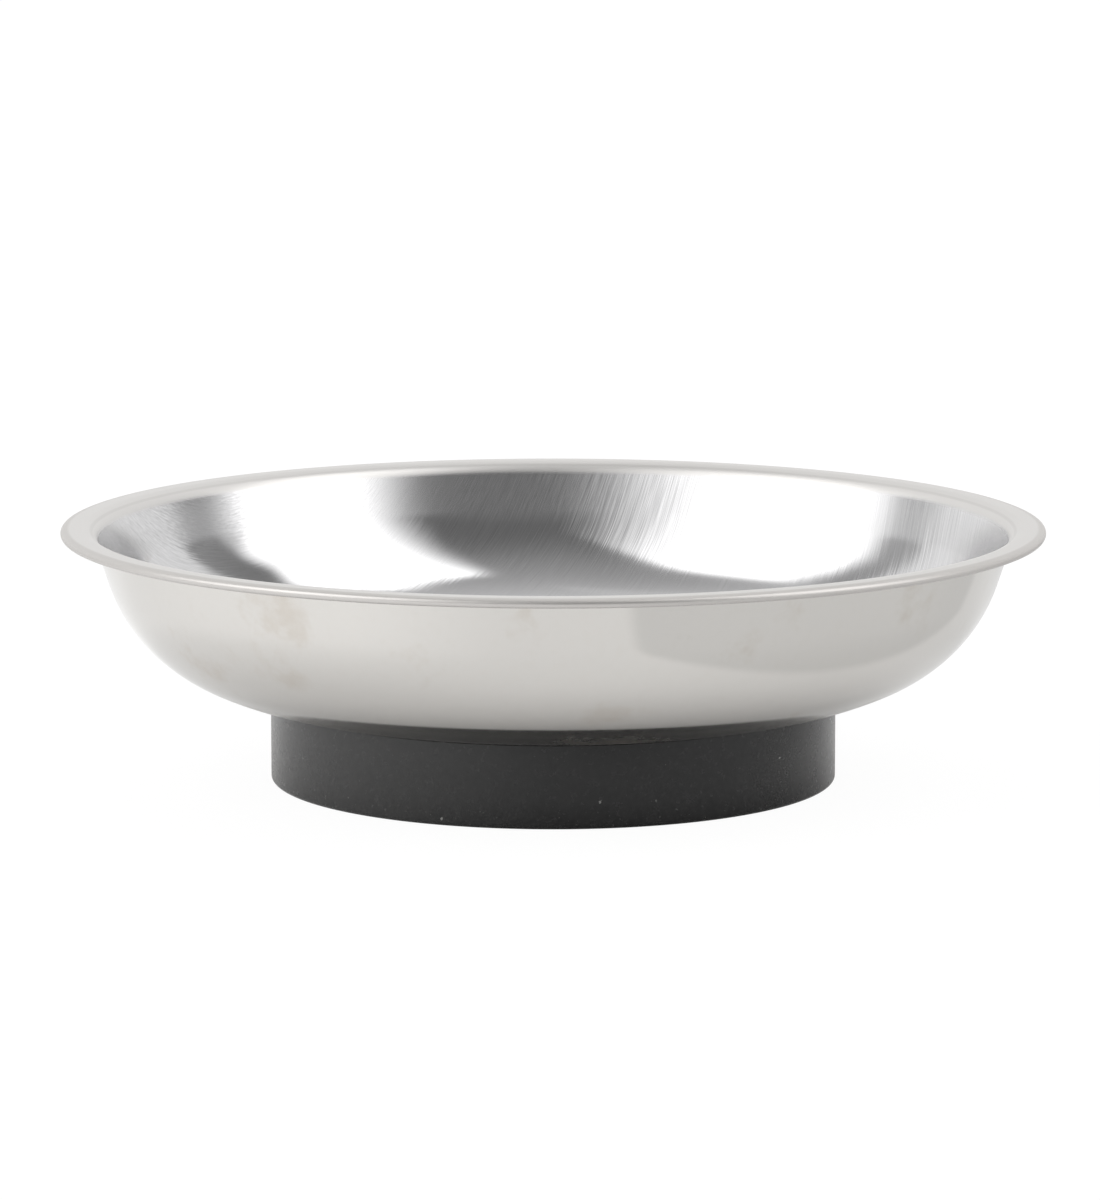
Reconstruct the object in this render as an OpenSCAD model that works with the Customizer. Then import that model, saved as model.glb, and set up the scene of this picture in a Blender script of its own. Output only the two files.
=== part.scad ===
// Magnetic parts tray: a pressed steel dish screwed to a plate and ring magnet,
// which sit in a rubber boot. The origin is the centre of the boot's underside,
// with +Z up along the axis that every piece shares.

/* [Dish] */
// Diameter over the rim
dish_d = 150; // [130:1:180]
// Height from the underside of the floor to the top of the rim
dish_h = 27.2; // [24:0.2:36]
// Thickness of the pressed sheet
sheet_t = 0.5; // [0.4:0.05:0.8]
// Width of the level crest of the rim, between its two bends
rim_flat_w = 1.6; // [0.8:0.1:3]
// Radius under the rim's outer part, where it droops
rim_droop_r = 1.4; // [0.8:0.1:2]
// Steepness at which the drooping part hands over to the curl, in degrees
rim_droop_angle = 40; // [30:1:50]
// Radius inside the edge that is curled under at the end of the rim
rim_curl_r = 0.12; // [0.1:0.02:0.4]
// Width of the sheet that runs back under the rim, past the curl
rim_hem_w = 0.6; // [0.2:0.1:1.6]
// Radius under the bend between the wall and the rim
rim_bend_r = 2.2; // [1.4:0.1:3]
// Outside radius of the heel, the slow curve that leaves the floor
heel_r = 44; // [34:1:54]
// Steepness at which the heel hands over to the wall curve, in degrees
heel_angle = 25.1; // [20:0.1:30]
// Steepness of the top of the wall, in degrees
wall_angle = 71.6; // [66:0.1:78]
// Length of the straight at the top of the wall
wall_straight = 6.7; // [4:0.1:9]

/* [Boot] */
// Diameter of the rubber boot
base_d = 86.5; // [80:0.5:95]
// Height of the boot's seat, which the flat of the dish stands on
base_h = 12; // [10.5:0.5:16]
// Thickness of the boot's side wall
boot_wall = 2; // [1.2:0.1:3]
// Thickness of the rubber under the magnet
boot_floor = 1.5; // [1:0.1:2.2]
// Thickness of the lip turned in over the plate
boot_lip = 1.2; // [0.8:0.1:1.8]
// Width of the lip that the flat of the dish presses on
lip_seat_w = 2; // [1:0.5:6]
// Radius of the boot's upper and lower edges
boot_edge_r = 0.6; // [0.3:0.1:1]
// Share of the wedge under the dish's heel that the boot's shoulder fills
shoulder_share = 0.85; // [0.5:0.05:0.95]

/* [Magnet and plate] */
// Diameter of the magnet's bore
magnet_bore_d = 36; // [30:1:48]
// Gap between the magnet and the boot's wall
magnet_gap = 0.6; // [0.3:0.1:1.5]
// Chamfer on the magnet's edges
magnet_chamfer = 0.5; // [0.2:0.1:1]
// Thickness of the plate
plate_t = 1.2; // [0.8:0.1:1.6]
// Gap between the plate and the boot's wall
plate_gap = 0.2; // [0.1:0.05:0.5]
// Diameter of the raised pad in the middle of the plate
pad_d = 24; // [20:1:28]
// Width of the sloping shoulder round the pad
pad_shoulder_w = 1.2; // [0.8:0.1:2]

/* [Fasteners] */
// Diameter of the screw's shank
screw_d = 5; // [4:0.5:6]
// Diameter of the screw's mushroom head
head_d = 12; // [10.5:0.5:14]
// Height of the screw's head
head_h = 2.8; // [2.2:0.1:3.6]
// Height of the upright rim of the head
head_rim_h = 0.5; // [0.3:0.1:0.9]
// Span of the cross recess
recess_span = 5; // [4:0.2:6]
// Width of each arm of the cross recess
recess_arm_w = 1.2; // [0.8:0.1:1.6]
// Depth of the cross recess
recess_depth = 1.9; // [1.2:0.1:2.1]
// Length of the screw past the nut
tip_over = 1; // [0.8:0.1:1.4]
// Chamfer on the screw's tip
tip_chamfer = 0.6; // [0.3:0.1:0.8]
// Gap all round the screw in the dish and the plate
hole_gap = 0.2; // [0.1:0.05:0.5]
// Gap all round the screw in its washers
washer_gap = 0.15; // [0.05:0.05:0.3]
// Gap that stands for the thread between the screw and the nut
thread_gap = 0.05; // [0.02:0.01:0.1]
// Diameter of the flat washer
washer_d = 10; // [9:0.5:12]
// Thickness of the flat washer
washer_t = 1; // [0.6:0.1:1.2]
// Diameter of the spring washer
spring_d = 9.2; // [8.6:0.2:10]
// Thickness of the spring washer
spring_t = 1.2; // [0.8:0.1:1.4]
// Width of the slit in the spring washer
spring_slit_w = 0.8; // [0.4:0.1:1.2]
// Lean of the slit in the spring washer, in degrees
spring_slit_angle = 20; // [10:1:30]
// Width across the flats of the nut
nut_flats_w = 8; // [7.5:0.5:10]
// Height of the nut
nut_h = 4; // [3:0.1:4.2]
// Steepness of the chamfer on the nut's corners, in degrees
nut_chamfer_angle = 30; // [15:1:40]

/* [Hidden] */
$fn = 96;
// How far a cut runs past what it cuts
overrun = 0.5;
// Width of the core that ties two stretches of sheet, as a share of the sheet
tie_share = 0.5;

// Heights of the stack, from the surface that the boot stands on
magnet_z = boot_floor;
plate_z = base_h - boot_lip - plate_t;
magnet_h = plate_z - magnet_z;
dish_z = base_h;
pad_under_z = dish_z - plate_t;
washer_z = pad_under_z - washer_t;
spring_z = washer_z - spring_t;
nut_z = spring_z - nut_h;
tip_z = nut_z - tip_over;
head_z = dish_z + sheet_t;

// Outline of the dish's underside, from the rim in to the floor
dish_r = dish_d / 2;
rim_under_z = dish_h - sheet_t;
rim_flat_r = dish_r - (rim_curl_r + sheet_t) * (1 - sin(rim_droop_angle))
             - (rim_droop_r + sheet_t) * sin(rim_droop_angle);
bend_end_r = rim_flat_r - rim_flat_w;
wall_top_r = bend_end_r - rim_bend_r * sin(wall_angle);
wall_top_z = rim_under_z - rim_bend_r * (1 - cos(wall_angle));
curve_top_r = wall_top_r - wall_straight * cos(wall_angle);
curve_top_z = wall_top_z - wall_straight * sin(wall_angle);
heel_top_z = heel_r * (1 - cos(heel_angle));
// The wall curve spans the height left between the heel and the straight
wall_r = (curve_top_z - heel_top_z) / (cos(heel_angle) - cos(wall_angle));
heel_top_r = curve_top_r - wall_r * (sin(wall_angle) - sin(heel_angle));
floor_r = heel_top_r - heel_r * sin(heel_angle);

// Radii of the base
base_r = base_d / 2;
pocket_r = base_r - boot_wall;
magnet_r = pocket_r - magnet_gap;
plate_r = pocket_r - plate_gap;
// The lip is gripped only where both the flat of the dish and the plate reach
lip_mouth_r = min(floor_r, plate_r) - lip_seat_w;
pad_r = pad_d / 2;

// The boot's shoulder starts where the line that touches the heel over the boot's edge meets the seat
heel_edge_angle = asin(max(base_r - floor_r, 0) / heel_r);
shoulder_w = heel_r * tan(heel_edge_angle / 2) * cos(heel_edge_angle);
shoulder_rise = shoulder_share * shoulder_w * tan(heel_edge_angle);
shoulder_angle = atan2(shoulder_rise, shoulder_w);
edge_in_r = base_r - boot_edge_r;
// Height of the centre of the boot's rounded upper edge
edge_top_z = base_h + (shoulder_w - boot_edge_r) * tan(shoulder_angle) - boot_edge_r / cos(shoulder_angle);

// Radii of the fasteners
screw_r = screw_d / 2;
head_r = head_d / 2;
screw_hole_r = screw_r + hole_gap;
washer_hole_r = screw_r + washer_gap;
nut_hole_r = screw_r + thread_gap;
nut_corner_r = nut_flats_w / 2 / cos(180 / 6);
nut_face_r = nut_flats_w / 2;

// The sheet is laid out as it is pressed, one stretch after another. Each stretch starts
// at the origin with its underside on the X axis, and its children go on from its end.

// A core inside the sheet that ties a stretch to the one before it
module tie() {
    translate([0, sheet_t / 2])
        circle(d = sheet_t * tie_share);
}

// A flat stretch
module flat_sheet(length) {
    square([length, sheet_t]);
    if ($children > 0)
        translate([length, 0]) {
            tie();
            children();
        }
}

// The part of a ring of sheet between an upright line and that line turned by an angle
module bent_sheet(outside_r, inside_r, angle) {
    reach = outside_r + overrun;
    intersection() {
        difference() {
            circle(r = outside_r);
            circle(r = inside_r);
        }
        translate([0, -reach])
            square([reach, 2 * reach]);
        rotate(angle)
            translate([-reach, -reach])
                square([reach, 2 * reach]);
    }
}

// A stretch that curls up, with its underside on the outside of the bend
module curl_up(under_r, angle) {
    translate([0, under_r]) {
        bent_sheet(under_r, under_r - sheet_t, angle);
        rotate(angle)
            translate([0, -under_r]) {
                tie();
                children();
            }
    }
}

// A stretch that curls down, with its underside on the inside of the bend
module curl_down(under_r, angle) {
    translate([0, -under_r]) {
        bent_sheet(under_r + sheet_t, under_r, -angle);
        if ($children > 0)
            rotate(-angle)
                translate([0, under_r]) {
                    tie();
                    children();
                }
    }
}

// Section of the dish, from the screw hole out to the edge curled under the rim
module dish_section() {
    translate([screw_hole_r, 0])
        flat_sheet(floor_r - screw_hole_r)
            curl_up(heel_r, heel_angle)
                curl_up(wall_r, wall_angle - heel_angle)
                    flat_sheet(wall_straight)
                        curl_down(rim_bend_r, wall_angle)
                            flat_sheet(rim_flat_w)
                                curl_down(rim_droop_r, rim_droop_angle)
                                    curl_down(rim_curl_r, 180 - rim_droop_angle)
                                        flat_sheet(rim_hem_w);
}

module dish() {
    color("silver")
        translate([0, 0, dish_z])
            rotate_extrude()
                dish_section();
}

// Outline of the boot, with its outer corners rounded
module boot_section() {
    square([edge_in_r, boot_edge_r]);
    for (z = [boot_edge_r, edge_top_z])
        translate([edge_in_r, z])
            circle(r = boot_edge_r);
    translate([edge_in_r, boot_edge_r])
        square([boot_edge_r, edge_top_z - boot_edge_r]);
    polygon([[0, boot_edge_r], [edge_in_r, boot_edge_r], [edge_in_r, edge_top_z],
             [edge_in_r - boot_edge_r * sin(shoulder_angle), edge_top_z + boot_edge_r * cos(shoulder_angle)],
             [base_r - shoulder_w, base_h], [0, base_h]]);
}

// A moulded cup whose lip turns in over the plate
module rubber_boot() {
    color("#1c1c1c")
        rotate_extrude()
            difference() {
                boot_section();
                translate([0, boot_floor])
                    square([pocket_r, base_h - boot_lip - boot_floor]);
                translate([0, boot_floor])
                    square([lip_mouth_r, base_h]);
            }
}

// A flat ring, chamfered on all four edges
module ring_magnet() {
    bore_r = magnet_bore_d / 2;
    color("dimgray")
        translate([0, 0, magnet_z])
            rotate_extrude()
                polygon([[bore_r + magnet_chamfer, 0], [magnet_r - magnet_chamfer, 0],
                         [magnet_r, magnet_chamfer], [magnet_r, magnet_h - magnet_chamfer],
                         [magnet_r - magnet_chamfer, magnet_h], [bore_r + magnet_chamfer, magnet_h],
                         [bore_r, magnet_h - magnet_chamfer], [bore_r, magnet_chamfer]]);
}

// A pressed disc whose middle is raised to meet the dish through the lip's mouth
module backing_plate() {
    shoulder_r = pad_r + pad_shoulder_w;
    color("lightsteelblue")
        translate([0, 0, plate_z])
            rotate_extrude()
                polygon([[screw_hole_r, boot_lip], [pad_r, boot_lip], [shoulder_r, 0], [plate_r, 0],
                         [plate_r, plate_t], [shoulder_r, plate_t], [pad_r, plate_t + boot_lip],
                         [screw_hole_r, plate_t + boot_lip]]);
}

// The cross-shaped recess in the screw's head
module cross_recess() {
    translate([0, 0, head_h - recess_depth])
        for (turn = [0, 90])
            rotate(turn)
                translate([-recess_span / 2, -recess_arm_w / 2, 0])
                    cube([recess_span, recess_arm_w, recess_depth + overrun]);
}

// A mushroom-headed machine screw with a chamfered tip
module centre_screw() {
    crown_h = head_h - head_rim_h;
    crown_r = (head_r * head_r + crown_h * crown_h) / (2 * crown_h);
    shank_h = head_z - tip_z;
    color("gainsboro") {
        translate([0, 0, head_z])
            difference() {
                intersection() {
                    cylinder(r = head_r, h = head_h);
                    translate([0, 0, head_h - crown_r])
                        sphere(r = crown_r);
                }
                cross_recess();
            }
        translate([0, 0, tip_z + tip_chamfer])
            cylinder(r = screw_r, h = shank_h - tip_chamfer);
        translate([0, 0, tip_z])
            cylinder(r1 = screw_r - tip_chamfer, r2 = screw_r, h = tip_chamfer);
    }
}

// A flat ring of the given size
module ring(outside_r, inside_r, h) {
    difference() {
        cylinder(r = outside_r, h = h);
        translate([0, 0, -overrun])
            cylinder(r = inside_r, h = h + 2 * overrun);
    }
}

module flat_washer() {
    color("silver")
        translate([0, 0, washer_z])
            ring(washer_d / 2, washer_hole_r, washer_t);
}

// A ring slit across at a lean
module spring_washer() {
    color("silver")
        translate([0, 0, spring_z])
            difference() {
                ring(spring_d / 2, washer_hole_r, spring_t);
                translate([spring_d / 2, 0, spring_t / 2])
                    rotate([spring_slit_angle, 0, 0])
                        cube([spring_d, spring_slit_w, 2 * (spring_t + overrun)], center = true);
            }
}

// A hexagon whose corners are turned back at both faces
module hex_nut() {
    chamfer_h = (nut_corner_r - nut_face_r) * tan(nut_chamfer_angle);
    color("silver")
        translate([0, 0, nut_z])
            difference() {
                intersection() {
                    cylinder(r = nut_corner_r, h = nut_h, $fn = 6);
                    rotate_extrude()
                        polygon([[0, 0], [nut_face_r, 0], [nut_corner_r, chamfer_h],
                                 [nut_corner_r, nut_h - chamfer_h], [nut_face_r, nut_h], [0, nut_h]]);
                }
                translate([0, 0, -overrun])
                    cylinder(r = nut_hole_r, h = nut_h + 2 * overrun);
            }
}

dish();
rubber_boot();
ring_magnet();
backing_plate();
centre_screw();
flat_washer();
spring_washer();
hex_nut();
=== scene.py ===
# %% [markdown]
# # A magnetic parts tray
# The object is a small steel dish that a mechanic drops screws into. Under it sits a black rubber
# boot with a ring magnet inside, so the tray clings to a car body while it holds its load.
# The measured solids come ready-made as a frame. This lesson dresses them: it sets the camera and
# the studio, works out smooth surfaces for the pieces that show, and gives every piece its finish.

# %% Load the frame
import math

import bpy
import numpy as np
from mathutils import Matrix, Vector


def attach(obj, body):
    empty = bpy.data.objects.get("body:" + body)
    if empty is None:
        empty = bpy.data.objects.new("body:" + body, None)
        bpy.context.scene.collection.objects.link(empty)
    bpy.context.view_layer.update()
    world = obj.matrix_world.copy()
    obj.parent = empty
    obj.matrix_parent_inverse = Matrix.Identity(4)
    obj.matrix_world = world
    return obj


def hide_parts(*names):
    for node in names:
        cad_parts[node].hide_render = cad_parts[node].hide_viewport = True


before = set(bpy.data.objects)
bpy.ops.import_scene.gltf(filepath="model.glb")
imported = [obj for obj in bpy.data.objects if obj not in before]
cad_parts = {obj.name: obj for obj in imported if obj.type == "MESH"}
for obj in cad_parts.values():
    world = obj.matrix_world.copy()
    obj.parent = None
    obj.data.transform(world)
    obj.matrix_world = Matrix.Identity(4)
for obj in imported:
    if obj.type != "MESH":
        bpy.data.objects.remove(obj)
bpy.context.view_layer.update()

MM = 0.001
scene = bpy.context.scene
scene.view_settings.view_transform = "Standard"
print("frame nodes:", ", ".join(sorted(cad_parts)))

# %% [markdown]
# ## Camera
# The rim is a circle, so the way it flattens to an ellipse gives the height of the lens above the
# table: nine degrees. The near and far halves of the rim differ by a few pixels, which gives the
# distance. A long lens from almost a metre away is what a product photographer would use as well.

# %% Place the camera
view_height = math.radians(9)
view_distance = 0.9
aim = Vector((-0.00049, 0, 0.02727))
eye = aim + view_distance * Vector((0, -math.cos(view_height), math.sin(view_height)))
camera = bpy.data.objects.new("camera", bpy.data.cameras.new("camera"))
scene.collection.objects.link(camera)
camera.location = eye
camera.rotation_euler = (aim - eye).to_track_quat("-Z", "Y").to_euler()
camera.data.sensor_width = 36
camera.data.lens = 176.5
scene.camera = camera
print("camera at", [round(v, 4) for v in eye])

# %% [markdown]
# ## Writing shaders as sums
# A finish is a small calculation for each point of a surface. Wiring that up node by node is hard
# to read, so one class wraps a node's output and lets Python's own operators add the Math nodes.
# Everything that isn't plain arithmetic comes from its one method, `node`.

# %% A socket that can be calculated with
class Shade:
    """An output of a node tree. Each operator on values adds one Math node to the tree."""

    def __init__(self, tree, socket=None):
        self.tree = tree
        self.socket = socket

    def node(self, kind, settings=None, inputs=None, out=0):
        """Adds a node: first its settings, then a value or a link for each named socket."""
        made = self.tree.nodes.new(kind)
        for name, value in (settings or {}).items():
            setattr(made, name, value)
        for name, value in (inputs or {}).items():
            if isinstance(value, Shade):
                self.tree.links.new(value.socket, made.inputs[name])
            else:
                made.inputs[name].default_value = value
        return Shade(self.tree, made.outputs[out] if len(made.outputs) else None)

    def math(self, operation, *values):
        return self.node("ShaderNodeMath", {"operation": operation}, dict(enumerate(values)))

    def __add__(self, other):
        return self.math("ADD", self, other)

    def __radd__(self, other):
        return self.math("ADD", other, self)

    def __sub__(self, other):
        return self.math("SUBTRACT", self, other)

    def __rsub__(self, other):
        return self.math("SUBTRACT", other, self)

    def __mul__(self, other):
        return self.math("MULTIPLY", self, other)

    def __rmul__(self, other):
        return self.math("MULTIPLY", other, self)

    def __truediv__(self, other):
        return self.math("DIVIDE", self, other)

    def __rtruediv__(self, other):
        return self.math("DIVIDE", other, self)

    def __neg__(self):
        return self.math("MULTIPLY", self, -1.0)

    def __abs__(self):
        return self.math("ABSOLUTE", self)

    def fade(self, start, end):
        """0 at start, 1 at end, with a smooth S between them."""
        return self.node("ShaderNodeMapRange", {"interpolation_type": "SMOOTHSTEP"},
                         {0: self, 1: start, 2: end, 3: 0.0, 4: 1.0})

    def vector(self, operation, *values, out=0):
        return self.node("ShaderNodeVectorMath", {"operation": operation}, dict(enumerate(values)), out)

    def split(self):
        """The three parts of a vector."""
        made = self.node("ShaderNodeSeparateXYZ", None, {0: self}).socket.node
        return [Shade(self.tree, part) for part in made.outputs]

    def blend(self, colour_a, colour_b):
        """colour_a where this value is 0, colour_b where it is 1."""
        return self.node("ShaderNodeMix", {"data_type": "RGBA"}, {0: self, 6: colour_a, 7: colour_b}, 2)


def grey(level):
    return (level, level, level, 1.0)


print("shader arithmetic ready")

# %% [markdown]
# ## Studio
# Polished metal has hardly any colour of its own: what it shows is the room. The reflections in the
# bowl can be traced back to a room with a large softbox on the left, another on the right, a dark
# side towards the camera, a grey ceiling and a light backdrop. Softboxes could be area lamps, but
# painting the room on the world as soft-edged windows in azimuth and height keeps it in one place.
# Each window is a product of fades, in degrees. The camera itself looks at plain white.

# %% Paint the room
SOFTBOX = 2.3


def room_light(sky):
    """Brightness of the room in the direction looked in. Azimuth 0 is the camera's side, + its right.
    The arc goes from the camera's side at 0 degrees over the ceiling at 90 to the backdrop at 180."""
    across, away, up = sky.node("ShaderNodeTexCoord", out="Generated").split()
    azimuth = across.math("ARCTAN2", across, -away) * math.degrees(1)
    height = up.math("ARCSINE", up) * math.degrees(1)
    arc = up.math("ARCTAN2", up, -away) * math.degrees(1)
    over = arc - 20 * abs(across)
    room = 0.19 + 0.05 * arc.fade(38, 28) + 0.33 * over.fade(38, 92) + 0.52 * over.fade(76, 126)
    side = abs(azimuth)
    gap = side.fade(100, 106) * side.fade(122, 116) * height.fade(7, 15) * height.fade(52, 42)
    backdrop = azimuth.fade(-112, -124) * azimuth.fade(-165, -140)
    room = room * (1 - gap * (0.57 + 0.0007 * azimuth)) + 0.1 * backdrop
    left_outer = azimuth + 5 * height.fade(16, 30)
    left_reach = left_outer.fade(-105, -93) * azimuth.fade(0, -58)
    left_top = (height + 0.0065 * (azimuth + 62) * (azimuth + 62)).fade(67, 63)
    right_outer = azimuth - 5 * height.fade(16, 30) - 13 * height.fade(37, 52)
    right_reach = azimuth.fade(35, 62) * right_outer.fade(101, 89)
    right_top = (height + 0.12 * abs(azimuth - 55)).fade(79, 72)
    boxes = (left_reach * left_top + right_reach * right_top) * (0.3 + 0.7 * height.fade(6, 14))
    return room * (1 - boxes) + SOFTBOX * boxes


studio = bpy.data.worlds.new("studio")
scene.world = studio
studio.use_nodes = True
studio.node_tree.nodes.clear()
sky = Shade(studio.node_tree)
seen = sky.node("ShaderNodeLightPath", out="Is Camera Ray")
strength = seen + (1 - seen) * room_light(sky)
background = sky.node("ShaderNodeBackground", None, {"Color": grey(1), "Strength": strength})
sky.node("ShaderNodeOutputWorld", None, {"Surface": background})
print("world nodes:", len(studio.node_tree.nodes))

# %% [markdown]
# ## Floor
# The tray stands on a white table, which the outside of the bowl mirrors from rim to foot. A plain
# diffuse floor gives the soft shadow under the bowl. The camera should see white paper, so most of
# what it sees is a glow of strength one, and the rest still carries the shadow. From below the floor
# is clear, so that the foot can be looked at.

# %% Lay the floor
def floor_finish():
    """White paper: a diffuse sheet that keeps the shadow, lifted to white where the camera sees it.
    In the steel the table is lit from the left and has a greyer patch on its right, painted for reflections
    only."""
    paper = bpy.data.materials.new("white_paper")
    paper.use_nodes = True
    paper.node_tree.nodes.clear()
    desk = Shade(paper.node_tree)
    camera_ray = desk.node("ShaderNodeLightPath", out="Is Camera Ray")
    mirror_ray = desk.node("ShaderNodeLightPath", out="Is Glossy Ray")
    spot = desk.node("ShaderNodeTexCoord", out="Object")
    reach = spot.vector("LENGTH", spot, out="Value") / MM
    across, along, _ = spot.split()
    right, near = across / MM, -along / MM
    # The grey patch's two straight edges, one along the view and one aslant to it. Only reflections see it.
    mirror_grey_patch = right.fade(22, 28) * (0.806 * right + 0.592 * near).fade(70, 76)
    lit_left = right.fade(-5, -70) * reach.fade(62, 105)
    tone = (mirror_grey_patch * mirror_ray).blend(grey(0.92), grey(0.78))
    diffuse = desk.node("ShaderNodeBsdfDiffuse", None, {"Color": tone})
    behind = near.fade(40, -60)
    dim = 0.35 * behind * (1 + 0.7 * abs(right).fade(20, 70) * near.fade(-60, -160))
    strength = 1.12 * camera_ray + (1.2 + 0.4 * lit_left - dim) * mirror_ray
    glow = desk.node("ShaderNodeEmission", None, {"Color": tone, "Strength": strength})
    lift = camera_ray * 0.92 + mirror_ray * 0.45 * reach.math("MAXIMUM", reach.fade(42, 78), behind)
    lit = desk.node("ShaderNodeMixShader", None, {0: lift, 1: diffuse, 2: glow})
    below = desk.node("ShaderNodeNewGeometry", out="Backfacing")
    clear = desk.node("ShaderNodeBsdfTransparent")
    seen_above = desk.node("ShaderNodeMixShader", None, {0: below, 1: lit, 2: clear})
    desk.node("ShaderNodeOutputMaterial", None, {"Surface": seen_above})
    return paper


floor_reach = 8.0
floor_drop = 0.02 * MM
floor_mesh = bpy.data.meshes.new("floor")
corners = floor_reach * np.array([[-1, -1, 0], [1, -1, 0], [1, 1, 0], [-1, 1, 0]])
floor_mesh.from_pydata((corners - [0, 0, floor_drop]).tolist(), [], [[0, 1, 2, 3]])
floor_mesh.materials.append(floor_finish())
floor = bpy.data.objects.new("floor", floor_mesh)
scene.collection.objects.link(floor)
print("floor laid,", 2 * floor_reach, "m across")

# %% [markdown]
# ## Turned surfaces
# The dish, the boot and the screw are all round, so one helper serves them: a grid of points with
# one row for each point of a profile and one column for each step round the axis. Blender's Spin or
# Screw could sweep the same profile, but a grid of numbers keeps exact control of where the rows lie.

# %% From a grid of points to a piece
def round_grid(profile, columns):
    """Point (r, z) of the profile goes to (r cos t, r sin t, z), for evenly spaced turns t."""
    turn = np.linspace(0, 2 * np.pi, columns, endpoint=False)
    r, z = profile[:, :1], profile[:, 1:]
    return np.stack([r * np.cos(turn), r * np.sin(turn), z + 0 * turn], axis=-1)


def piece_from_grid(name, points, loop, sharp_angle=40):
    """Quads between neighbouring rows and columns. A looped profile joins its last row to its first;
    otherwise the first and last rows are poles, each shrunk to one vertex with a fan round it."""
    rows, columns = points.shape[:2]
    index = np.arange(rows * columns).reshape(rows, columns)
    ring = np.hstack([index, index[:, :1]])
    if loop:
        ring = np.vstack([ring, ring[:1]])
    quads = np.stack([ring[:-1, :-1], ring[:-1, 1:], ring[1:, 1:], ring[1:, :-1]], -1).reshape(-1, 4)
    faces = quads.tolist()
    vertices = points.reshape(-1, 3)
    if not loop:
        inner = quads.reshape(rows - 1, columns, 4)
        first, last = inner[0], inner[-1]
        start_fan = np.stack([0 * first[:, 0], first[:, 2], first[:, 3]], -1)
        end_fan = np.stack([last[:, 0], last[:, 1], 0 * last[:, 0] + (rows - 1) * columns], -1)
        kept = np.r_[0, columns:(rows - 1) * columns + 1]
        renumber = np.zeros(rows * columns, int)
        renumber[kept] = np.arange(len(kept))
        faces = (renumber[inner[1:-1].reshape(-1, 4)].tolist() + renumber[start_fan].tolist()
                 + renumber[end_fan].tolist())
        vertices = vertices[kept]
    mesh = bpy.data.meshes.new(name)
    mesh.from_pydata((vertices * MM).tolist(), [], faces)
    mesh.shade_smooth()
    mesh.set_sharp_from_angle(angle=math.radians(sharp_angle))
    piece = bpy.data.objects.new(name, mesh)
    scene.collection.objects.link(piece)
    return piece


def volume_of(piece):
    """Volume in cubic millimetres, by adding up signed tetrahedra. Above 0 when faces point outwards."""
    mesh = piece.data
    mesh.calc_loop_triangles()
    corner = np.empty(len(mesh.loop_triangles) * 3, int)
    mesh.loop_triangles.foreach_get("vertices", corner)
    spot = np.empty(len(mesh.vertices) * 3)
    mesh.vertices.foreach_get("co", spot)
    a, b, c = spot.reshape(-1, 3)[corner.reshape(-1, 3)].transpose(1, 0, 2) / MM
    return float(np.einsum("ij,ij->i", a, np.cross(b, c)).sum() / 6)


def seat(piece, node):
    """Lets a piece stand in for a CAD node, on the one body that the tray has."""
    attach(piece, "root")
    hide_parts(node)


print("grid helpers ready")

# %% [markdown]
# ## Dish
# The dish is pressed from half-millimetre sheet. Its section is a chain of stretches that run
# smoothly into each other: a flat floor, a slow heel, the rounder wall, a short straight, a wide bend
# out to the level crest of the rim, a drooping outer part, and an edge curled right under so that
# nobody cuts a finger. Walking that chain along the underside and offsetting it by the sheet's
# thickness gives both faces at once. The CAD solid has nearly the same section: its rim droops a
# little more at the edge. A denser grid keeps the reflections free of facets.

# %% Walk the sheet's section
sheet = 0.5
rim_r, rim_flat, bend_r, curl_r, hem = 75.0, 1.9, 2.2, 0.12, 0.6
droop_r, droop_angle = 1.4, 25.0
heel_r, heel_angle, wall_angle, wall_straight = 44.0, 25.1, 71.6, 6.7
dish_z, dish_h, screw_hole_r = 12.0, 27.2, 2.7


def wall_curve():
    """Radius of the wall, and of the flat floor, that fit the chain between the rim and its height."""
    heel, wall = math.radians(heel_angle), math.radians(wall_angle)
    top_z = dish_h - sheet - bend_r * (1 - math.cos(wall)) - wall_straight * math.sin(wall)
    droop = math.sin(math.radians(droop_angle))
    bend_end_r = rim_r - (curl_r + sheet) * (1 - droop) - (droop_r + sheet) * droop - rim_flat
    top_r = bend_end_r - bend_r * math.sin(wall) - wall_straight * math.cos(wall)
    radius = (top_z - heel_r * (1 - math.cos(heel))) / (math.cos(heel) - math.cos(wall))
    floor_r = top_r - radius * (math.sin(wall) - math.sin(heel)) - heel_r * math.sin(heel)
    return radius, floor_r


def walk_sheet(stretches, r, z):
    """Underside of the sheet as rows of r, z and heading a, walked outwards. A straight of length s goes
    on along a. A curl of radius R from a0 is r + R (sin a - sin a0), z - R (cos a - cos a0), with R
    below zero where it curls down."""
    heading, rows = 0.0, []
    for radius, turn, length, steps in stretches:
        share = np.linspace(0, 1, steps + 1)
        a = heading + math.radians(turn) * share
        if turn:
            bend = math.copysign(radius, turn)
            walked = r + bend * (np.sin(a) - math.sin(heading)), z - bend * (np.cos(a) - math.cos(heading))
        else:
            walked = r + length * share * math.cos(heading), z + length * share * math.sin(heading)
        rows.append(np.stack([*walked, a], 1)[1 if rows else 0:])
        r, z, heading = rows[-1][-1]
    return np.vstack(rows)


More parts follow.
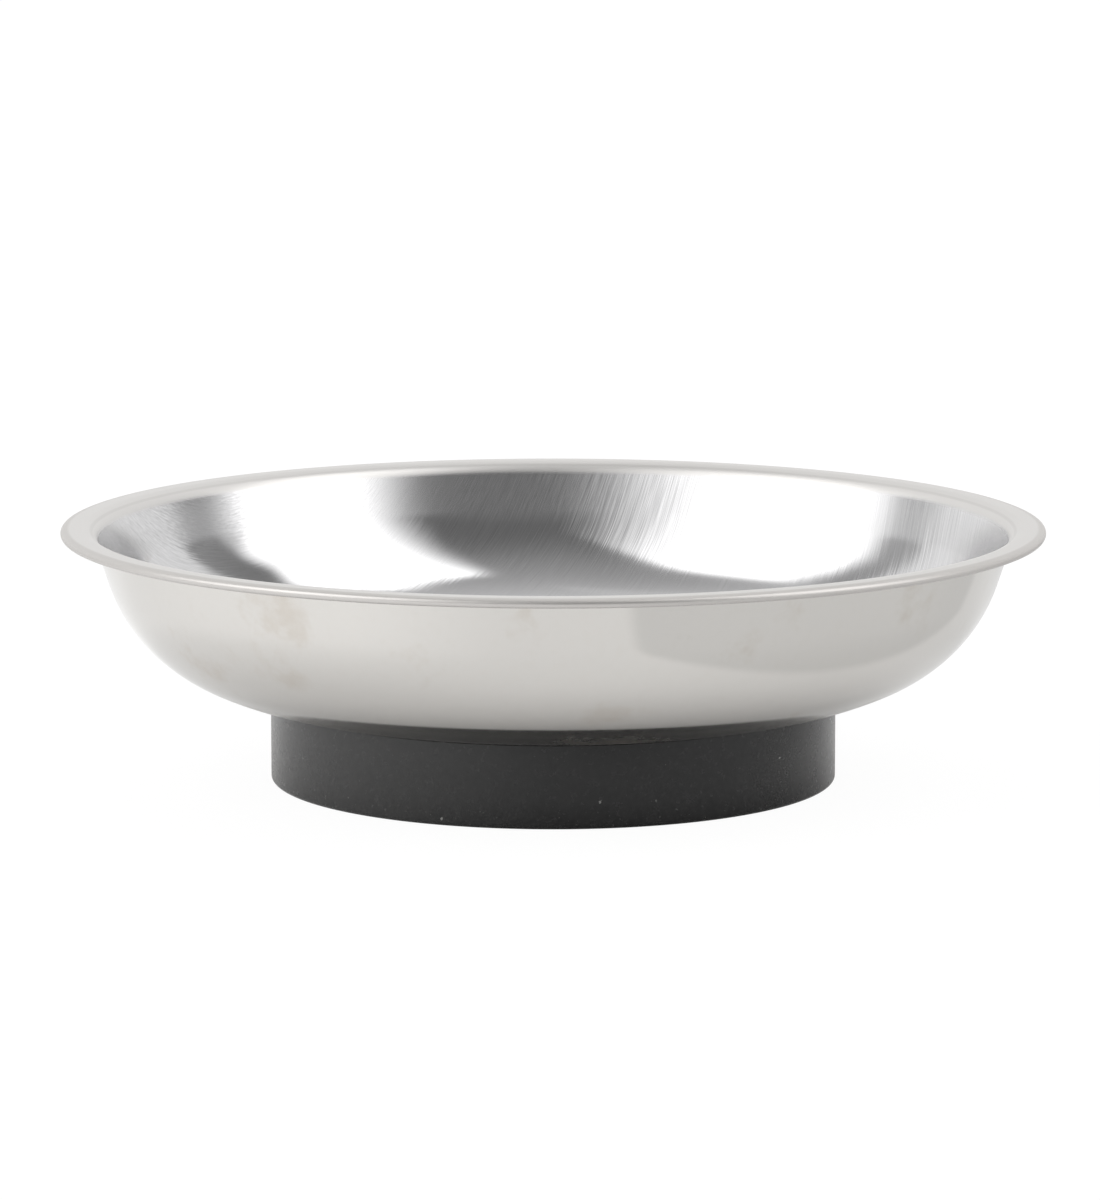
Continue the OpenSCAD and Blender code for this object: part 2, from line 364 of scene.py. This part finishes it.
wall_r, floor_r = wall_curve()
underside = walk_sheet([(0, 0, floor_r - screw_hole_r, 8), (heel_r, heel_angle, 0, 16),
                        (wall_r, wall_angle - heel_angle, 0, 26), (0, 0, wall_straight, 3),
                        (bend_r, -wall_angle, 0, 16), (0, 0, rim_flat, 3), (droop_r, -droop_angle, 0, 8),
                        (curl_r, droop_angle - 180, 0, 16), (0, 0, hem, 2)], screw_hole_r, dish_z)
lean = underside[:, 2:]
topside = underside[:, :2] + sheet * np.hstack([-np.sin(lean), np.cos(lean)])
print(f"wall radius {wall_r:.2f} mm, flat floor to {floor_r:.2f} mm, rim at {topside[:, 0].max():.2f} mm")

# %% Turn the dish
dish_columns = 512
dish_profile = np.vstack([topside, underside[::-1, :2]])
dish = piece_from_grid("steel_dish", round_grid(dish_profile, dish_columns)[:, ::-1], loop=True)
row_of_face = np.arange(len(dish.data.polygons)) // dish_columns
dish.data.polygons.foreach_set("material_index", (row_of_face >= len(topside) - 1).astype(np.int32))
seat(dish, "dish")
print(f"dish: {len(dish.data.polygons)} faces, {volume_of(dish):.0f} cubic mm of steel")

# %% [markdown]
# ## Brushed steel, inside
# The sheet was brushed in one direction before it was pressed: straight scratches run across the
# whole bowl, at about fifty degrees to the front, and the wall spread them a little when it was
# drawn up. Each scratch tilts the mirror to its side, so a lamp smears across the scratches and
# stays sharp along them. An anisotropic shader would follow circles round the axis here, so the tilt
# is worked out instead: noise stretched along the brushing turns the normal across it. The scratches
# are shorter high up on the left, deeper on the right, and rubbed smooth on the floor. The rim is
# satin, with a thin ring of painted shade just inside its crest and painted shade on its outer edge.

# %% Brush the inside
brush_turn = math.radians(50)
brush_spread = 0.17
brush_across = (-math.sin(brush_turn), math.cos(brush_turn), 0)


def new_finish(name, base, roughness, metallic=1.0):
    """A material with a Principled shader, and the desk to calculate on."""
    material = bpy.data.materials.new(name)
    material.use_nodes = True
    shader = material.node_tree.nodes["Principled BSDF"]
    shader.inputs["Base Color"].default_value = (*base, 1)
    shader.inputs["Roughness"].default_value = roughness
    shader.inputs["Metallic"].default_value = metallic
    return material, shader, Shade(material.node_tree)


def feed(shader, **links):
    """Links a calculated value to a socket of the shader, named with _ for a space."""
    for name, value in links.items():
        value.tree.links.new(value.socket, shader.inputs[name.replace("_", " ")])


def flat_sheet_place(desk):
    """Where each point lay in the flat sheet, its height in millimetres, and the way across the brushing
    there. The plan is stretched by 1 + spread * rise / distance."""
    spot = desk.node("ShaderNodeTexCoord", out="Object")
    plan = spot.vector("MULTIPLY", spot, (1, 1, 0))
    reach = plan.vector("LENGTH", plan, out="Value")
    height = spot.split()[2]
    place = plan.vector("MULTIPLY", plan, 1 + brush_spread * (height - (dish_z + sheet) * MM) / reach)
    outward = plan.vector("NORMALIZE", plan)
    climb = outward.vector("DOT_PRODUCT", outward, brush_across, out="Value")
    across = climb.vector("ADD", climb.vector("MULTIPLY", (0, 0, brush_spread), climb), brush_across)
    return place, height / MM, across


def noise(spot, scale, detail, out=0):
    """Blender's noise texture: about 0.3 to 0.7, with 0.5 in the middle."""
    return spot.node("ShaderNodeTexNoise", None, {"Vector": spot, "Scale": scale, "Detail": detail}, out)


def brushing(place, length, width, seed):
    """Noise of about -1 to 1 in long grains: so many millimetres along the brushing and across it."""
    grain = place.node("ShaderNodeMapping", {"vector_type": "TEXTURE"},
                       {"Vector": place, "Rotation": (0, 0, brush_turn),
                        "Location": (seed, seed, 0), "Scale": (length * MM, width * MM, 1)})
    return (noise(grain, 1.0, 1.0) - 0.5) * 4


def tilted(across, tilt):
    """The surface's normal, turned by a small tilt towards the direction across the brushing."""
    normal = across.node("ShaderNodeNewGeometry", out="Normal")
    leaning = normal.vector("DOT_PRODUCT", normal, across, out="Value")
    flat = normal.vector("SUBTRACT", across, normal.vector("MULTIPLY", normal, leaning))
    sideways = flat.vector("NORMALIZE", flat)
    turned = normal.vector("ADD", normal, sideways.vector("MULTIPLY", sideways, tilt))
    return turned.vector("NORMALIZE", turned)


brushed, shader, desk = new_finish("brushed_steel", (0.60, 0.597, 0.6), 0.14)
place, height, across = flat_sheet_place(desk)
fine = brushing(place, 5, 0.16, 0.3)
streak = brushing(place, 26, 0.13, 0.7)
band = brushing(place, 80, 5, 0.1)
straight = height.fade(30.3, 31.9)
rim = height.fade(37.1, 37.9)
# Painted shade: a thin ring just inside the rim's crest is coloured darker, standing in for the dark line
# that the bend reflects.
painted_ring_shade = height.fade(38.45, 38.6) * height.fade(38.9, 38.75)
right = place.split()[0] / MM
worn = right.fade(-30, 25)
deep = height.fade(19, 28) * (0.4 + 0.6 * worn)
short = brushing(place, 1.4, 0.14, 0.5) * height.fade(27, 33) * right.fade(30, -20)
tilt = (0.014 * fine + 0.025 * streak * deep + 0.006 * band + 0.02 * short) * (1 - 0.7 * rim)
worked = 0.5 + (0.06 + 0.34 * deep) * fine + 0.15 * streak * deep + 0.3 * short
steel = worked.blend((0.48, 0.478, 0.482, 1), (0.72, 0.717, 0.722, 1))
# Painted shade: the rim's outer edge, where it droops and curls under, is coloured darker.
edge = (place.vector("LENGTH", place, out="Value") / MM).fade(78.1, 78.7)
satin_steel, ring_shade_steel = (0.65, 0.637, 0.622, 1), (0.6, 0.587, 0.572, 1)
edge_shade_steel = (0.565, 0.548, 0.53, 1)
# satin_steel is the rim's own colour. The mix adds the ring and the outer edge of painted shade to it.
satin = edge.blend(painted_ring_shade.blend(satin_steel, ring_shade_steel), edge_shade_steel)
rough = 0.1 + 0.04 * worn + 0.1 * straight + 0.22 * rim
feed(shader, Normal=tilted(across, tilt), Roughness=rough, Base_Color=rim.blend(steel, satin))
dish.data.materials.append(brushed)
print("brushed steel:", len(brushed.node_tree.nodes), "nodes")

# %% [markdown]
# ## Polished steel, outside
# The outside was left as the mill rolled it and then rubbed bright. It mirrors the table almost
# cleanly, and that clean mirror shows every fault: cloudy finger marks and a fine grain. They are
# patches of noise that dull the mirror and tint it a little. Just above the boot, where a cloth
# doesn't reach, the steel is duller.

# %% Polish the outside
polished, shader, desk = new_finish("polished_steel", (0.61, 0.59, 0.56), 0.1)
spot = desk.node("ShaderNodeTexCoord", out="Object")
patches = {"Vector": spot, "Scale": 60.0, "Detail": 5.0, "Roughness": 0.62}
cloud = desk.node("ShaderNodeTexNoise", None, patches)
smudge = cloud.fade(0.55, 0.72) + 0.4 * (noise(spot, 800.0, 2.0) - 0.5)
dull = (spot.split()[2] / MM).fade(18, 15.5)
clean_steel, smudged_steel = (0.618, 0.603, 0.579, 1), (0.57, 0.538, 0.497, 1)
feed(shader, Base_Color=smudge.blend(clean_steel, smudged_steel),
     Roughness=0.08 + 0.1 * smudge + 0.17 * dull)
dish.data.materials.append(polished)
print("polished steel:", len(polished.node_tree.nodes), "nodes")

# %% [markdown]
# ## Rubber boot
# The boot is moulded rubber: a cup that holds the magnet, with a lip turned in over the plate,
# a softly rounded foot, and a shoulder that rises to meet the heel of the dish. It is one profile
# carried round the axis, from the middle of the underside out, up the side, over the lip and back
# to the middle of the pocket.

# %% Mould the boot
boot_r, boot_h, boot_edge, boot_brow, boot_floor, boot_lip = 43.25, 12.0, 0.6, 0.12, 1.5, 1.2
shoulder_share, boot_columns = 0.96, 288
pocket_r, mouth_r = 41.25, floor_r - 2.0
heel_touch = math.asin((boot_r - floor_r) / heel_r)
shoulder_w = heel_r * math.tan(heel_touch / 2) * math.cos(heel_touch)
shoulder = math.atan(shoulder_share * math.tan(heel_touch))
edge_top = boot_h + (shoulder_w - boot_brow) * math.tan(shoulder) - boot_brow / math.cos(shoulder)
low = np.linspace(-np.pi / 2, 0, 9)
high = np.linspace(0, np.pi / 2 + shoulder, 9)
edge_in, brow_in = boot_r - boot_edge, boot_r - boot_brow
foot = np.stack([edge_in + boot_edge * np.cos(low), boot_edge + boot_edge * np.sin(low)], 1)
brow = np.stack([brow_in + boot_brow * np.cos(high), edge_top + boot_brow * np.sin(high)], 1)
side = np.stack([[boot_r, boot_r], [boot_h / 3, boot_h * 2 / 3]], 1)
pocket = np.array([[boot_r - shoulder_w, boot_h], [mouth_r, boot_h], [mouth_r, boot_h - boot_lip],
                   [pocket_r, boot_h - boot_lip], [pocket_r, boot_floor], [pocket_r / 2, boot_floor],
                   [0, boot_floor]])
boot_profile = np.vstack([[[0, 0], [boot_r / 3, 0], [boot_r * 0.8, 0]], foot, side, brow, pocket])
boot = piece_from_grid("rubber_boot_skin", round_grid(boot_profile, boot_columns), loop=False)
seat(boot, "rubber_boot")
print(f"boot: {len(boot.data.polygons)} faces, {volume_of(boot):.0f} cubic mm of rubber")

# %% [markdown]
# ## Black rubber
# Moulded rubber is a very dark grey with a satin skin, so its sides pick up a soft sheen where the
# light grazes them. It holds dust: pale specks all over, pulled out of round by a little noise, and a
# powder near the foot where it has been set down. Its left side is painted paler, as painted light.

# %% Finish the rubber
rubber, shader, desk = new_finish("black_rubber", (0.01, 0.01, 0.01), 0.3, metallic=0.0)
spot = desk.node("ShaderNodeTexCoord", out="Object")
near_foot = (spot.split()[2] / MM).fade(6, 0.5)
shake = noise(spot, 2200.0, 1.0, "Color")
astray = spot.vector("ADD", spot, shake.vector("MULTIPLY", shake, (0.6 * MM, 0.6 * MM, 0.6 * MM)))
dust = {"Vector": astray, "Scale": 380.0}
cell = desk.node("ShaderNodeTexVoronoi", {"feature": "F1"}, dust, "Color").split()
speck = desk.node("ShaderNodeTexVoronoi", {"feature": "F1"}, dust) - 0.09 * cell[0]
speck = speck.fade(0.02, -0.02) * cell[1].fade(0.55, 0.95)
powder = noise(spot, 1900.0, 2.0).fade(0.67, 0.8) * (0.12 + 0.88 * near_foot)
mottle = noise(spot, 900.0, 4.0)
# Painted light: the boot's left side gets a paler base colour, standing in for the left softbox's light on
# it.
painted_light_left = (spot.split()[0] / MM).fade(5, -35)
black, dusty_and_painted_light = (0.011, 0.011, 0.0112, 1), (0.06, 0.06, 0.06, 1)
# The paler colour serves both the mottle's random tone and the painted light on the left side.
skin = (0.12 * mottle.fade(0.3, 0.7) + 0.7 * painted_light_left).blend(black, dusty_and_painted_light)
pale = speck.math("MAXIMUM", speck, powder * 0.3)
shader.inputs["Specular IOR Level"].default_value = 0.36
shader.inputs["Sheen Weight"].default_value = 0.45
shader.inputs["Sheen Roughness"].default_value = 0.3
dust_colour = (0.27, 0.27, 0.26, 1)
feed(shader, Base_Color=pale.blend(skin, dust_colour), Roughness=0.2 + 0.12 * mottle + 0.4 * pale)
boot.data.materials.append(rubber)
print("rubber:", len(rubber.node_tree.nodes), "nodes")

# %% [markdown]
# ## Screw
# A mushroom-headed screw holds the dish to the plate. Its head is a cap of a sphere with a cross
# recess that narrows as it goes down, and its shank has a five-millimetre thread. All of it is one
# grid: for each turn round the axis the profile runs from the tip up the thread, out under the head,
# in over the dome and down into the recess. The recess's outline is a distance from the axis for
# each turn, so a row of the grid lies exactly on its edge.

# %% Turn the screw
screw_r, screw_tip_z, head_z, head_r, head_top, head_rim = 2.5, 3.6, dish_z + sheet, 6.0, 2.8, 0.5
pitch, thread_depth, recess_depth = 0.8, 0.45, 1.9
turn = np.linspace(0, 2 * np.pi, 160, endpoint=False)


def thread_rows(steps):
    """Shank: r falls from the crest by the thread's depth as z / pitch - turn goes from whole to half.
    It runs out below the head, and the tip is cut back at 45 degrees."""
    z = np.linspace(screw_tip_z, head_z, steps)[:, None] + 0 * turn
    phase = z / pitch - turn / (2 * np.pi)
    flank = np.clip(2.6 * abs(phase - np.round(phase)) - 0.15, 0, 1)
    run_out = np.clip((head_z - 0.8 - z) / 0.8, 0, 1)
    r = screw_r - thread_depth * flank * run_out
    return np.minimum(r, screw_r - 0.6 + z - screw_tip_z), z


def cross_outline(half_span, half_arm):
    """Distance from the axis to the edge of a cross: its arm's end, or its arm's side, if that is nearer."""
    off_arm = (turn + np.pi / 4) % (np.pi / 2) - np.pi / 4
    return np.minimum(half_span / np.cos(off_arm), half_arm / np.maximum(abs(np.sin(off_arm)), 1e-6))


def dome_height(r):
    """Height of the head's cap of a sphere at a distance r from the axis."""
    crown = head_top - head_rim
    ball_r = (head_r ** 2 + crown ** 2) / (2 * crown)
    return head_z + head_top - ball_r + np.sqrt(ball_r ** 2 - r ** 2)


shank_r, shank_z = thread_rows(120)
inward = np.linspace(0, 1, 16)[:, None]
mouth = cross_outline(2.5, 0.6)
dome_r = head_r + (mouth - head_r) * inward
recess_floor_z = head_z + head_top - recess_depth
down = np.linspace(0, 1, 5)[1:, None]
bottom = cross_outline(1.6, 0.4)
recess_r = mouth + (bottom - mouth) * down
recess_z = dome_height(mouth) + (recess_floor_z - dome_height(mouth)) * down
under_r = np.array([head_r - 0.15, head_r])[:, None] + 0 * turn
under_z = np.array([head_z, head_z + 0.15])[:, None] + 0 * turn
screw_radius = np.vstack([0 * turn, shank_r, under_r, dome_r, recess_r, 0 * turn])
screw_height = np.vstack([0 * turn + screw_tip_z, shank_z, under_z, dome_height(dome_r), recess_z,
                          0 * turn + recess_floor_z])
screw_points = np.stack([screw_radius * np.cos(turn), screw_radius * np.sin(turn), screw_height], -1)
screw = piece_from_grid("mushroom_screw", screw_points, loop=False, sharp_angle=32)
seat(screw, "centre_screw")
print(f"screw: {len(screw.data.polygons)} faces, {volume_of(screw):.0f} cubic mm of steel")

# %% [markdown]
# ## Plated steel and ferrite
# The screw, the plate, the washers and the nut are zinc plated, and the magnet is sintered ferrite.
# All but the screw are sealed in the boot, so their CAD shapes stay as they are. Each still has its
# finish.

# %% Finish what is inside
def plated_finish(name, light, dark, grain):
    """Bright zinc: a fine crystal pattern of two greys, with a satin gloss that follows it."""
    zinc, shader, desk = new_finish(name, light, 0.3)
    spot = desk.node("ShaderNodeTexCoord", out="Object")
    crystal = desk.node("ShaderNodeTexVoronoi", {"feature": "F1"}, {"Vector": spot, "Scale": grain}, "Color")
    facet = crystal.split()[0]
    wash = noise(spot, grain / 8, 4.0)
    feed(shader, Base_Color=(0.6 * facet + 0.4 * wash).blend((*dark, 1), (*light, 1)),
         Roughness=0.22 + 0.1 * facet + 0.12 * wash)
    return zinc


def ferrite_finish():
    """Sintered ferrite: charcoal grey with a fine sparkle and dull ground faces."""
    ferrite, shader, desk = new_finish("ferrite", (0.05, 0.05, 0.055), 0.6, metallic=0.0)
    spot = desk.node("ShaderNodeTexCoord", out="Object")
    grain = noise(spot, 2500.0, 3.0)
    bump = desk.node("ShaderNodeBump", None, {"Strength": 0.3, "Distance": 0.05 * MM, "Height": grain})
    feed(shader, Base_Color=grain.fade(0.35, 0.7).blend((0.03, 0.03, 0.034, 1), (0.09, 0.09, 0.1, 1)),
         Roughness=0.5 + 0.25 * grain, Normal=bump)
    return ferrite


def wear(node, finish):
    """Gives a CAD node its finish in place of the plain one that it came with."""
    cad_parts[node].data.materials.clear()
    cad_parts[node].data.materials.append(finish)


fastener_zinc = plated_finish("plated_fastener", (0.68, 0.68, 0.69), (0.5, 0.51, 0.53), 2600)
screw.data.materials.append(fastener_zinc)
wear("ring_magnet", ferrite_finish())
wear("backing_plate", plated_finish("plated_plate", (0.66, 0.67, 0.69), (0.46, 0.48, 0.52), 700))
for node in ("flat_washer", "spring_washer", "hex_nut"):
    wear(node, fastener_zinc)
print("finished: mushroom_screw, ring_magnet, backing_plate, flat_washer, spring_washer, hex_nut")
